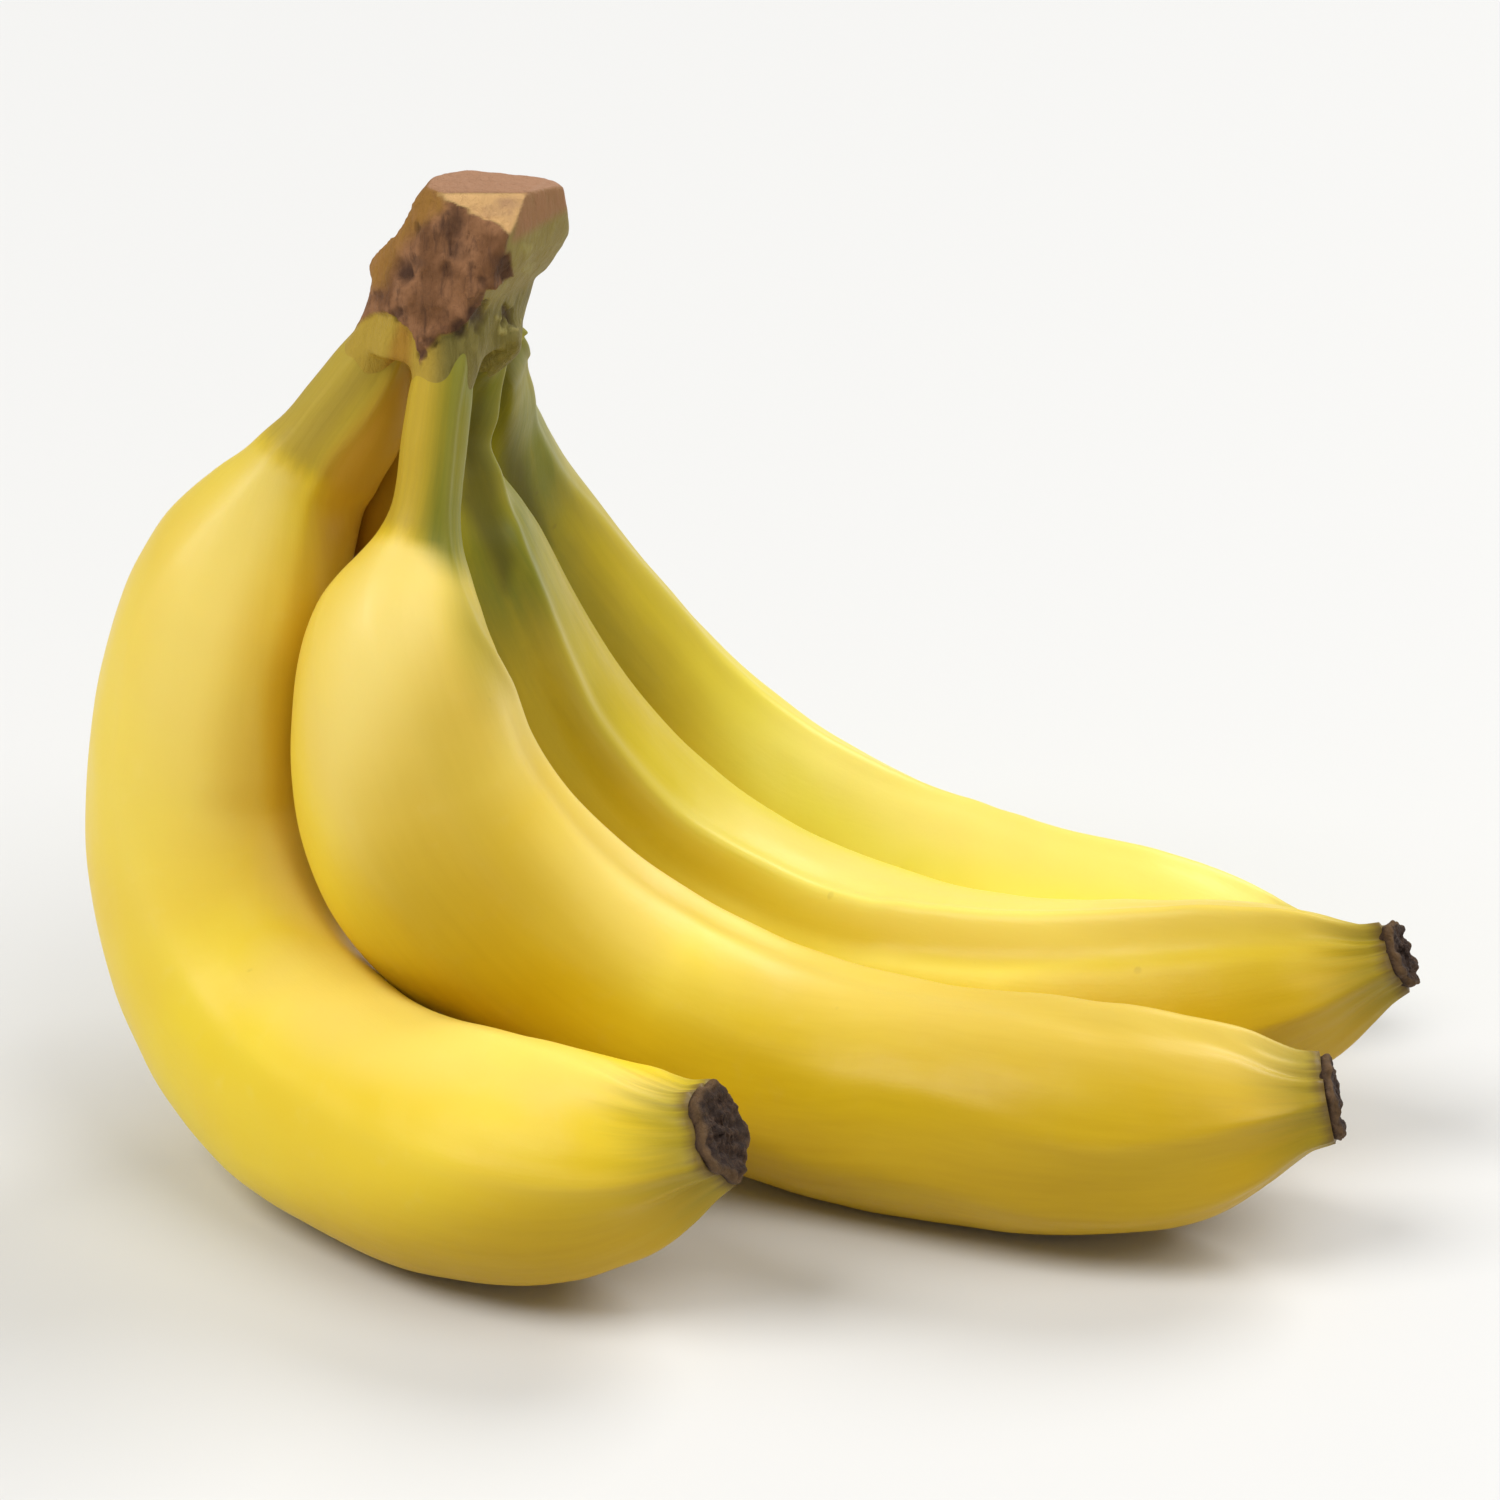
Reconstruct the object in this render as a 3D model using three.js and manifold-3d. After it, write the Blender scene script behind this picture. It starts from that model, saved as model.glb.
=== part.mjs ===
// A bunch of four bananas that lie on a table and are joined at one crown, in millimetres, +Z up.
// The origin is on the table, under the middle of the bunch, and +X runs towards the fruit tips.
import * as THREE from 'three';
import { mergeVertices } from 'three/addons/utils/BufferGeometryUtils.js';
import Module from 'manifold-3d';

const wasm = await Module();
wasm.setup();

// Driving dimensions
const GIRTH = 37.8;             // widest diameter of the fruit that the stem profile is drawn for
const STALK = 9.8;              // diameter of a fruit's stalk where it leaves the crown
const SIDES = 20;               // sides of a fruit, four to each of its five faces
const RIDGE = 0.028;            // how far the five ridges stand out, as a part of the radius
const RIDGE_TURN = 20;          // angle of the first ridge from the hollow side of a fruit
const STALK_TOP = 24;           // where the stalk ends and the shoulder begins, before the neck is counted
const BODY_STEP = 9;            // spacing of the rings along the middle of a fruit
const WALK = 0.5;               // step along a centre-line while its bends are added up
const GAP = 0.3;                // clear gap between pieces that touch
const PRESS = 1.5;              // how deep the underside is pressed flat where the bunch rests

// Distance from the crown and diameter, for a fruit of the girth above
const STALK_END = [
  [0, STALK], [8, STALK], [16, 10], [23, 10.3], [28, 11.4], [32, 14], [36, 18.6], [40, 23.4],
  [46, 29.3], [53, 33.4], [61, 35.9], [70, 37.2], [79, GIRTH],
];
// Distance from the blossom end and diameter, drawn for the same fruit
const BLOSSOM_END = [
  [0, 13], [3.5, 14.6], [7, 18], [11, 22.6], [16, 27.6], [22, 31.9], [29, 35], [37, 36.8],
];

// Each fruit follows a centre-line that starts in the crown and bends from one direction to the next.
// A direction is a pitch and a heading: a pitch of -90 points straight down and past that it turns back,
// and a heading of 0 is towards +X and 90 towards +Y. The bends list a length, then the direction at its end.
// The plane in which a fruit bends leans back by its lean. A short neck brings its shoulder nearer the crown.
const FRUITS = [
  {
    name: '1', root: [-57.5, 7, 138], lean: -9, start: [-127, -11],
    girth: 39.8, neck: -2, blossom: 15.5,
    bends: [[23, -123, -14.5], [13.5, -110.5, -18.5], [45.5, -92, -44.5], [61, -8, -49.5], [81, 26.5, -21]],
  },
  {
    name: '2', root: [-47, -1, 138], lean: -7, start: [-109.5, 44],
    girth: 37.8, neck: 0, blossom: 13,
    bends: [[19.5, -106, 43], [21, -113, 40], [42.5, -58, 19], [93.5, 4, -27.5], [64, 13, -5.5]],
  },
  {
    name: '3', root: [-39.5, 9.5, 137.5], lean: 9.5, start: [-135, -15.5],
    girth: 36.4, neck: -7.5, blossom: 11,
    bends: [[23.5, -107, -14.5], [21.5, -79.5, -14], [52, -53, -5], [67.5, -2, -25.5], [84, 26.5, -7.5]],
  },
  {
    name: '4', root: [-38, 20, 138], lean: 30.5, start: [-111.5, -35.5],
    girth: 35.2, neck: -4.5, blossom: 11,
    bends: [[22.5, -141, -33], [50, -74.5, -35], [34.5, -68.5, -30], [81, -1.5, -40], [66.5, 3.5, 7]],
  },
];

// The crown's outline from above, as parts of its half width and half depth, with a sharp corner in front
const CROWN_PLAN = [
  [1, 0.3], [0.85, 0.85], [0.3, 1], [-0.5, 1], [-0.9, 0.5], [-1, -0.2], [-0.65, -0.7], [-0.2, -0.88],
  [0.26, -1], [0.66, -0.35],
];
// The crown from its lower edge up: height, then its reach in X and in Y
const CROWN_SECTIONS = [
  { z: 135, x: [-63.5, -34], y: [-7, 25.5] },
  { z: 140, x: [-61, -34], y: [-7, 25] },
  { z: 144, x: [-59.5, -33.5], y: [-7.5, 23] },
  { z: 148, x: [-59, -30.5], y: [-8, 20] },
  { z: 153, x: [-54.5, -28], y: [-8, 14] },
  { z: 158, x: [-52, -28], y: [-7.5, 8] },
  { z: 168, x: [-48, -29], y: [-7, 3] },
];
// Flat knife cuts: a point of the cut and the direction that is cut away
const CROWN_CUTS = [
  { at: [-40, 0, 162.5], away: [0, 0, 1] },
  { at: [-41, -4, 162.5], away: [0, -0.85, 0.52] },
  { at: [-34.2, -4, 162.5], away: [0.71, -0.69, 0.13] },
];

const PEEL = new THREE.MeshStandardMaterial({ color: '#e2c23f', roughness: 0.45, metalness: 0 });
const CROWN_SKIN = new THREE.MeshStandardMaterial({ color: '#7b5334', roughness: 0.9, metalness: 0 });
const DRY_END = new THREE.MeshStandardMaterial({ color: '#413023', roughness: 0.95, metalness: 0 });

// Centre-lines
function fruitLength(fruit) {
  return fruit.bends.reduce((sum, [length]) => sum + length, 0);
}

// Pitch and heading at a distance along a fruit, in degrees
function bendAt(fruit, distance) {
  let from = 0;
  let before = fruit.start;
  for (const [length, ...after] of fruit.bends) {
    if (distance <= from + length) {
      const share = Math.max(distance - from, 0) / length;
      return before.map((angle, index) => angle + (after[index] - angle) * share);
    }
    from += length;
    before = after;
  }
  return before;
}

function directionsAt(fruit, distance) {
  const [pitch, heading] = bendAt(fruit, distance).map(THREE.MathUtils.degToRad);
  const lean = THREE.MathUtils.degToRad(fruit.lean);
  const level = new THREE.Vector3(Math.cos(heading), Math.sin(heading), 0);
  const aside = new THREE.Vector3(-Math.sin(heading), Math.cos(heading), 0);
  const upright = new THREE.Vector3(0, 0, Math.cos(lean)).addScaledVector(aside, -Math.sin(lean));
  return {
    forward: level.clone().multiplyScalar(Math.cos(pitch)).addScaledVector(upright, Math.sin(pitch)),
    inward: level.clone().multiplyScalar(-Math.sin(pitch)).addScaledVector(upright, Math.cos(pitch)),
    side: level.clone().cross(upright),
  };
}

// Places and directions at rising distances along a fruit; the first may lie before its root
function framesAlong(fruit, distances) {
  const place = new THREE.Vector3(...fruit.root);
  let walked = Math.min(distances[0], 0);
  place.addScaledVector(directionsAt(fruit, walked).forward, walked);
  return distances.map((distance) => {
    while (distance - walked > 1e-6) {
      const step = Math.min(WALK, distance - walked);
      place.addScaledVector(directionsAt(fruit, walked + step / 2).forward, step);
      walked += step;
    }
    return { place: place.clone(), ...directionsAt(fruit, distance) };
  });
}

// A closed skin over rings of equal count, with a flat cap at each end
function skinOver(rings) {
  const sides = rings[0].length;
  const points = rings.flat();
  const faces = [];
  for (let ring = 0; ring + 1 < rings.length; ring += 1) {
    for (let side = 0; side < sides; side += 1) {
      const a = ring * sides + side;
      const b = ring * sides + (side + 1) % sides;
      faces.push(a, b, b + sides, a, b + sides, a + sides);
    }
  }
  for (const [ring, facesForward] of [[0, false], [rings.length - 1, true]]) {
    const middle = new THREE.Vector3();
    rings[ring].forEach((point) => middle.addScaledVector(point, 1 / sides));
    const centre = points.push(middle) - 1;
    for (let side = 0; side < sides; side += 1) {
      const a = ring * sides + side;
      const b = ring * sides + (side + 1) % sides;
      faces.push(...(facesForward ? [centre, a, b] : [centre, b, a]));
    }
  }
  const geometry = new THREE.BufferGeometry().setFromPoints(points);
  geometry.setIndex(faces);
  return geometry;
}

// A ring of a fruit: a circle with five low ridges
function fruitRing(frame, diameter) {
  const turn = THREE.MathUtils.degToRad(RIDGE_TURN);
  return Array.from({ length: SIDES }, (_, index) => {
    const angle = index / SIDES * 2 * Math.PI;
    const radius = diameter / 2 * (1 + RIDGE * Math.cos(5 * (angle - turn)));
    return frame.place.clone()
      .addScaledVector(frame.inward, radius * Math.cos(angle))
      .addScaledVector(frame.side, radius * Math.sin(angle));
  });
}

function sweepFruit(fruit, stations) {
  const frames = framesAlong(fruit, stations.map(([distance]) => distance));
  return skinOver(frames.map((frame, index) => fruitRing(frame, stations[index][1])));
}

// Distance along a fruit and diameter there, from the crown to the blossom end
function fruitStations(fruit) {
  const length = fruitLength(fruit);
  const scale = fruit.girth / GIRTH;
  const [[, drawnBlossom]] = BLOSSOM_END;
  const taper = (fruit.girth - fruit.blossom) / (GIRTH - drawnBlossom);
  const stalk = STALK_END.map(([distance, diameter]) => (
    distance < STALK_TOP ? [distance, diameter] : [distance + fruit.neck, diameter * scale]));
  const tip = BLOSSOM_END.map(([distance, diameter]) => (
    [length - distance, fruit.blossom + (diameter - drawnBlossom) * taper])).reverse();
  const [first] = stalk[stalk.length - 1];
  const span = tip[0][0] - first;
  const steps = Math.round(span / BODY_STEP);
  const body = Array.from({ length: steps - 1 }, (_, index) => (
    [first + span * (index + 1) / steps, fruit.girth]));
  return [...stalk, ...body, ...tip];
}

// The underside is pressed flat where it would pass below the table
function restOnTable(geometry) {
  const position = geometry.getAttribute('position');
  for (let index = 0; index < position.count; index += 1) {
    position.setZ(index, Math.max(position.getZ(index) - PRESS, 0));
  }
  return geometry;
}

function makeFruit(fruit) {
  return restOnTable(sweepFruit(fruit, fruitStations(fruit)));
}

// The dried blossom end: a short cup-faced plug past the fruit's last ring
function makeBlossomEnd(fruit) {
  const length = fruitLength(fruit);
  const { blossom } = fruit;
  return restOnTable(sweepFruit(fruit, [
    [length + GAP, blossom * 0.97], [length + 1.2, blossom * 1.03], [length + 2.6, blossom],
    [length + 3.6, blossom * 0.86], [length + 2.9, blossom * 0.55],
  ]));
}

// Solids for joining and cutting
function toSolid(geometry) {
  const bare = geometry.clone();
  bare.deleteAttribute('normal');
  bare.deleteAttribute('uv');
  const merged = mergeVertices(bare, 1e-4);
  return new wasm.Manifold(new wasm.Mesh({
    numProp: 3,
    vertProperties: new Float32Array(merged.getAttribute('position').array),
    triVerts: new Uint32Array(merged.getIndex().array),
  }));
}

function fromSolid(solid) {
  const mesh = solid.getMesh();
  const geometry = new THREE.BufferGeometry();
  geometry.setAttribute('position', new THREE.BufferAttribute(mesh.vertProperties, 3));
  geometry.setIndex(new THREE.BufferAttribute(mesh.triVerts, 1));
  return geometry;
}

function crownRing({ z, x, y }) {
  return CROWN_PLAN.map(([across, back]) => new THREE.Vector3(
    (x[0] + x[1]) / 2 + (x[1] - x[0]) / 2 * across,
    (y[0] + y[1]) / 2 + (y[1] - y[0]) / 2 * back,
    z - PRESS,
  ));
}

function knifeCut({ at, away }) {
  const size = 80;
  const block = new THREE.BoxGeometry(size, size, size);
  block.translate(0, 0, size / 2);
  const up = new THREE.Vector3(0, 0, 1);
  block.applyQuaternion(new THREE.Quaternion().setFromUnitVectors(up, new THREE.Vector3(...away).normalize()));
  block.translate(...at);
  block.translate(0, 0, -PRESS);
  return toSolid(block);
}

// Room for a stalk in the crown, wider than the stalk by the gap
function stalkSocket(fruit) {
  const stations = [-GAP, 6, 12, 16].map((distance) => [distance, STALK * (1 + RIDGE) + 2 * GAP]);
  const geometry = sweepFruit(fruit, stations);
  geometry.translate(0, 0, -PRESS);
  return toSolid(geometry);
}

function makeCrown() {
  let crown = toSolid(skinOver(CROWN_SECTIONS.map(crownRing)));
  for (const cut of CROWN_CUTS) {
    crown = crown.subtract(knifeCut(cut));
  }
  for (const fruit of FRUITS) {
    crown = crown.subtract(stalkSocket(fruit));
  }
  return fromSolid(crown);
}

// The bunch
const bunch = new THREE.Group();

function addPiece(name, geometry, material) {
  geometry.computeVertexNormals();
  const mesh = new THREE.Mesh(geometry, material);
  mesh.name = name;
  bunch.add(mesh);
}

for (const fruit of FRUITS) {
  addPiece(`banana_${fruit.name}`, makeFruit(fruit), PEEL);
  addPiece(`blossom_end_${fruit.name}`, makeBlossomEnd(fruit), DRY_END);
}
addPiece('crown', makeCrown(), CROWN_SKIN);

// The origin goes under the middle of the bunch
const middle = new THREE.Box3().setFromObject(bunch).getCenter(new THREE.Vector3());
bunch.position.set(-middle.x, -middle.y, 0);

export default bunch;
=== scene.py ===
"""The looks of a bunch of four bananas on a pale table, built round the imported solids, in metres."""
import math

import bmesh
import bpy
import numpy as np
from bpy.props import FloatProperty, FloatVectorProperty, PointerProperty
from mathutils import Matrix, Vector


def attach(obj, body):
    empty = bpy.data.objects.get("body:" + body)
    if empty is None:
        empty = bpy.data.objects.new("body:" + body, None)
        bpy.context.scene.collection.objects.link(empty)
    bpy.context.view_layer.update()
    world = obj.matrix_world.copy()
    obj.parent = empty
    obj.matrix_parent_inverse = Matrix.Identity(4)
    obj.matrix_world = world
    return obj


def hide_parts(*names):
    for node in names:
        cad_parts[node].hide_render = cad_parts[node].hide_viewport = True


bl_info = {
    "name": "Bunch of bananas",
    "version": (1, 0, 0),
    "blender": (4, 5, 0),
    "location": "View3D > Sidebar > Bananas",
    "description": "Dresses the bunch's solids as ripe fruits with a torn brown crown",
    "category": "Object",
}

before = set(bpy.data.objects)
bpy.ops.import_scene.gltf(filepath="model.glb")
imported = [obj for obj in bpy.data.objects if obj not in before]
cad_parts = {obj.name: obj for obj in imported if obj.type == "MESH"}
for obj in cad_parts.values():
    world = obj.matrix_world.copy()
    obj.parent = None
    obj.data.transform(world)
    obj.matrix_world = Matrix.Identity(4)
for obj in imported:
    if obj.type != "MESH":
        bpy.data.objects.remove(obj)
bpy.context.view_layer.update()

MM = 0.001
PHOTO = 1500                     # width and height of the photo, in its own pixels
CAMERA_PITCH = math.radians(22)  # how far the camera looks down
CAMERA_DISTANCE = 760 * MM
CAMERA_LENS = 112.6              # in mm
SENSOR = 36.0                    # width of the camera's sensor in mm
LOOK_AT = Vector((-0.61, -5.99, 67.0)) * MM
TO_CAMERA = np.array((0, -math.cos(CAMERA_PITCH), math.sin(CAMERA_PITCH)))

AROUND = 160                     # sides of a finished fruit
RING_STEP = 1.1 * MM             # spacing of its rings
CAD_SIDES = 20                   # sides of a fruit's solid
CAD_RINGS_APART = 1.5 * MM       # rings of a solid that are closer than this count as one
MERGE = 0.005 * MM               # corners of a solid that are closer than this are merged
ABOVE_TABLE = 0.02 * MM          # lowest height of any point of the bunch
TINY = 1e-12                     # stands in for zero in a division

# Widths of a fruit's forms round it, in radians, and how far in front of the strongest ridge its groove runs
RIDGE_WIDTH, NECK_LINE_WIDTH, GROOVE_WIDTH, GROOVE_AHEAD = 0.13, 0.16, 0.17, 0.32
# Stretches in mm from the crown over which a fruit's forms end or begin
GRIP_ENDS, NECK_ENDS, BODY_BEGINS, GROOVE_BEGINS, SWELLS_BEGIN = (2, 10), (20, 44), (26, 60), (40, 75), (-2, 5)
# Stretches in mm from the blossom end over which a fruit's forms end or begin
BODY_ENDS, GROOVE_ENDS, TIP_BEGINS, TIP_FACETS_BEGIN = (0, 14), (3, 16), (3, 22), (10, 50)
FULL_RADIUS = 17 * MM            # a fruit of this radius or more has ridges of full height
SKIN_RADIUS = 18                 # radius in mm of the cylinder on which the peel's texture lies

# For each fruit: the compass heading of its hollow side, and the path of its strongest ridge as distance from the
# crown in mm and angle from the hollow side in degrees. The other ridges keep the offsets from it. How strong that
# ridge is, and how faceted the fruit is between its ridges, are shares of the ridge height. A groove, whose depth is
# in mm, runs in front of that ridge. A swell is a flange on the neck or a bulge where fruits press on each other:
# its middle and reach along the fruit in mm, its angle in degrees, its height in mm and its half width in radians.
# A sway moves the middle of the fruit: its middle and reach along the fruit, and how far right and up, all in mm.
RIDGES = {
    "1": {
        "heading": -35, "strong": 0.5, "groove": 0, "faceted": 0.45,
        "path": [(0, 40), (24, 24), (42, -6), (60, -19), (80, -12), (100, 0), (130, 8), (224, 6)],
        "offsets": [0, 70, 142, 215, 288], "swells": [(22, 28, 78, 8.4, 0.7)],
        "sways": [(8, 26, 1.5, 0)],
    },
    "2": {
        "heading": -5, "strong": 1.3, "groove": 0.7, "faceted": 0.35,
        "path": [(0, -36), (22, -34), (32, -22), (44, 0), (56, 16), (100, 20), (146, 22), (166, 10), (186, 6),
                 (206, -8), (222, 2), (241, 18)],
        "offsets": [0, 74, 150, 228, 276],
        "swells": [(0, 12, -32, 1.4, 0.35), (90, 34, 172, 5.0, 0.62), (220, 18, 180, 1.6, 0.9)],
    },
    "3": {
        "heading": -12, "strong": 2.5, "groove": 0.95, "faceted": 1.0,
        "path": [(0, -26), (24, -22), (34, -20), (46, -30), (60, -33), (80, -39), (104, -38), (130, -33),
                 (160, -38), (204, -27), (228, -20), (250, -15)],
        "offsets": [0, 72, 140, 212, 284], "swells": [(21, 17, -16, 3.4, 0.42), (30, 14, -178, 1.6, 0.5)],
    },
    "4": {
        "heading": -25, "strong": 1.2, "groove": 0, "faceted": 0.7,
        "path": [(0, -40), (44, -28), (76, -6), (104, 0), (206, 1), (224, 12), (253, 30)],
        "offsets": [0, 70, 140, 210, 286], "swells": [],
        "sways": [(0, 20, -4.6, 0), (28, 15, 2.9, 0), (262, 40, 0, -2.2)],
    },
}
# Green skin on each fruit: distance from the crown in mm, how green it is, and how far across the fruit from its
# middle, in shares of its radius, the green begins towards the right
GREENS = {
    "1": [(0, 0.25, -2.5), (24, 0.2, -2.5), (50, 0, -2.5)],
    "2": [(0, 1, -0.6), (31, 1, -0.5), (37, 0.6, 0.3), (60, 0.35, 0.65), (90, 0.25, 0.7), (120, 0.12, 0.7),
          (160, 0, 0.8)],
    "3": [(0, 1, -2.5), (45, 0.95, -2.5), (70, 0.62, -2.5), (95, 0.34, -2.5), (120, 0.12, -2.5), (150, 0, -2.5)],
    "4": [(0, 1, -2.5), (40, 1, -2.5), (75, 0.95, -2.5), (100, 0.6, -2.5), (125, 0.22, -2.5), (150, 0, -2.5)],
}

# Painted shade, a deeper yellow, on the lower side of each fruit: distance from the crown in mm, and where it begins
# round the fruit, from 1 at the very underside to -1 at the top, or less where the top has some of it too
PAINTED_SHADE_UNDERSIDE = {
    "1": [(0, 0.4), (140, 0.35), (180, -0.1), (200, -0.6), (224, -0.8)],
    "2": [(0, 0.3), (70, 0.2), (95, -0.2), (125, -0.4), (150, -1.8), (190, -2.6), (241, -2.8)],
    "3": [(0, 0.0), (110, 0.0), (150, -0.3), (185, -0.6), (215, -1.9), (250, -2.8)],
    "4": [(0, 0.1), (253, 0.1)],
}

# Painted light, a pale yellow, on the shoulders of the two front fruits: where it begins and ends in mm from the
# crown, and its strength
PAINTED_LIGHT_SHOULDERS = {"1": (25, 150, 0.9), "2": (30, 112, 1.0)}
NO_PAINTED_LIGHT_SHOULDER = (25, 60, 0.0)
# Painted light, a pale yellow, on the right sides of the same fruits: its strength, how far across the fruit it is
# full, in shares of its radius, and its middle and reach along it in mm
PAINTED_LIGHT_SIDES = {"1": (1.0, 0.8, 105, 60), "2": (0.9, 0.7, 115, 65)}
# How much of each fruit's yellow is lemon
LEMON = {"1": 0.2, "2": 0.25, "3": 0.9, "4": 1.0}

# Outline in the photo, in its pixels, of the dim gap between the two left stalks, where the fruits behind get
# painted shade
BETWEEN_STALKS = [(320, 300), (430, 300), (430, 480), (360, 600), (320, 600)]
# Outlines in the photo of the dim olive grooves between the other stalks, on the two fruits behind, where they
# get painted shade
PAINTED_SHADE_NECKS = {
    "3": [(472, 370), (494, 370), (494, 440), (497, 500), (512, 560), (505, 590), (484, 545), (462, 500),
          (463, 440)],
    "4": [(503, 330), (515, 330), (521, 430), (528, 480), (548, 545), (532, 535), (515, 505), (503, 470),
          (499, 400)],
}


# Small tools
def deselect():
    if bpy.context.mode != "OBJECT":
        bpy.ops.object.mode_set(mode="OBJECT")
    bpy.ops.object.select_all(action="DESELECT")


def use(obj):
    """Makes obj the only selected object and the active one."""
    deselect()
    obj.select_set(True)
    bpy.context.view_layer.objects.active = obj


def smoothstep(low, high, value):
    t = np.clip((value - low) / (high - low), 0.0, 1.0)
    return t * t * (3 - 2 * t)


def bulge(value, middle, reach):
    """1 in the middle, 0 beyond its reach and smooth between."""
    return np.cos(np.clip((value - middle) / reach, -1, 1) * math.pi / 2) ** 2


def hump(value, width):
    """1 at zero and next to nothing at twice the width."""
    return np.exp(-(value / width) ** 2)


def turned(angles):
    """Angles brought to between minus and plus half a turn."""
    return (angles + math.pi) % (2 * math.pi) - math.pi


def full_turn(sides):
    """The angles of a ring's corners."""
    return np.arange(sides) / sides * 2 * math.pi


def unit(vectors):
    return vectors / np.maximum(np.linalg.norm(vectors, axis=-1, keepdims=True), TINY)


def outward(angles, inner, side):
    """The direction of each angle from the middle of each ring."""
    return np.cos(angles)[None, :, None] * inner[:, None] + np.sin(angles)[None, :, None] * side[:, None]


def waves(points, size, seed, count=14):
    """A smooth seeded field between about -1 and 1 whose features are about size across."""
    slowest, fastest, usual_peak = 0.55, 1.5, 1.6
    random = np.random.default_rng(seed)
    directions = unit(random.normal(size=(count, 3)))
    speeds = 2 * math.pi / size * random.uniform(slowest, fastest, count)
    phases = random.uniform(0, 2 * math.pi, count)
    field = np.zeros(points.shape[:-1])
    for direction, speed, phase in zip(directions, speeds, phases):
        field += np.sin(points @ direction * speed + phase)
    return field / math.sqrt(count / 2) / usual_peak


def corners_of(mesh, kind):
    """The places, "co", or the directions, "normal", of a mesh's corners."""
    flat = np.empty(len(mesh.vertices) * 3)
    mesh.vertices.foreach_get(kind, flat)
    return flat.reshape(-1, 3)


def put_points(mesh, points):
    mesh.vertices.foreach_set("co", points.ravel())
    mesh.update()


def put_mask(mesh, name, values, kind="FLOAT", key="value"):
    layer = mesh.attributes.new(name, kind, "POINT")
    layer.data.foreach_set(key, np.asarray(values, dtype=np.float32).ravel())


def new_object(name, mesh):
    obj = bpy.data.objects.new(name, mesh)
    bpy.context.scene.collection.objects.link(obj)
    return obj


def edit(obj, operator, **settings):
    """Runs a mesh operator on the whole of obj."""
    use(obj)
    bpy.ops.object.mode_set(mode="EDIT")
    bpy.ops.mesh.select_all(action="SELECT")
    operator(**settings)
    bpy.ops.object.mode_set(mode="OBJECT")


def face_outwards(obj):
    edit(obj, bpy.ops.mesh.normals_make_consistent, inside=False)
    deselect()


def closed_faces(rings, around):
    """Quads between rings, and a fan over each end to a middle point that follows the rings."""
    index = np.arange(rings * around).reshape(rings, around)
    across = np.roll(index, -1, axis=1)
    quads = np.stack((index[:-1], across[:-1], across[1:], index[1:]), axis=-1).reshape(-1, 4)
    first, last = rings * around, rings * around + 1
    fans = [(first, b, a) for a, b in zip(index[0], across[0])]
    fans += [(last, a, b) for a, b in zip(index[-1], across[-1])]
    return [tuple(q) for q in quads.tolist()] + fans


def tube(name, points):
    """A closed object through rings of points, whose last two points are the middles of its ends."""
    ends = [points[0].mean(axis=0), points[-1].mean(axis=0)]
    mesh = bpy.data.meshes.new(name)
    mesh.from_pydata(np.concatenate((points.reshape(-1, 3), ends)).tolist(), [], closed_faces(*points.shape[:2]))
    mesh.update()
    obj = new_object(name, mesh)
    face_outwards(obj)
    return obj


def apply_modifier(obj, kind, **settings):
    use(obj)
    modifier = obj.modifiers.new(kind.title(), kind)
    for key, value in settings.items():
        setattr(modifier, key, value)
    bpy.ops.object.modifier_apply(modifier=modifier.name)


def dress(obj, material, slot, *nodes):
    """Gives a finished piece its material and its body, and hides the nodes that it stands for. Its slot is not
    used.
    """
    obj.data.materials.clear()
    obj.data.materials.append(material)
    use(obj)
    bpy.ops.object.shade_smooth()
    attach(obj, "root")
    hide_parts(*nodes)
    deselect()


def photo_places(points):
    """Where points of the bunch lie in the photo, in its pixels."""
    up = np.array((0, math.sin(CAMERA_PITCH), math.cos(CAMERA_PITCH)))
    away = points - np.array(LOOK_AT)
    scale = CAMERA_LENS / SENSOR * PHOTO / (CAMERA_DISTANCE - away @ TO_CAMERA)
    return np.stack((PHOTO / 2 + away[:, 0] * scale, PHOTO / 2 - (away @ up) * scale), axis=-1)


def inside_distance(places, outline):
    """Distance of each place from a closed outline, positive inside."""
    corners = np.array(outline, dtype=float)
    following = np.roll(corners, -1, axis=0)
    nearest = np.full(len(places), np.inf)
    inside = np.zeros(len(places), dtype=bool)
    for (ax, ay), (bx, by) in zip(corners, following):
        edge = np.array((bx - ax, by - ay))
        to = places - (ax, ay)
        share = np.clip(to @ edge / (edge @ edge), 0, 1)
        nearest = np.minimum(nearest, np.linalg.norm(to - share[:, None] * edge, axis=1))
        crosses = (ay > places[:, 1]) != (by > places[:, 1])
        at = (bx - ax) * (places[:, 1] - ay) / ((by - ay) or TINY) + ax
        inside ^= crosses & (places[:, 0] < at)
    return np.where(inside, nearest, -nearest)


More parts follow.
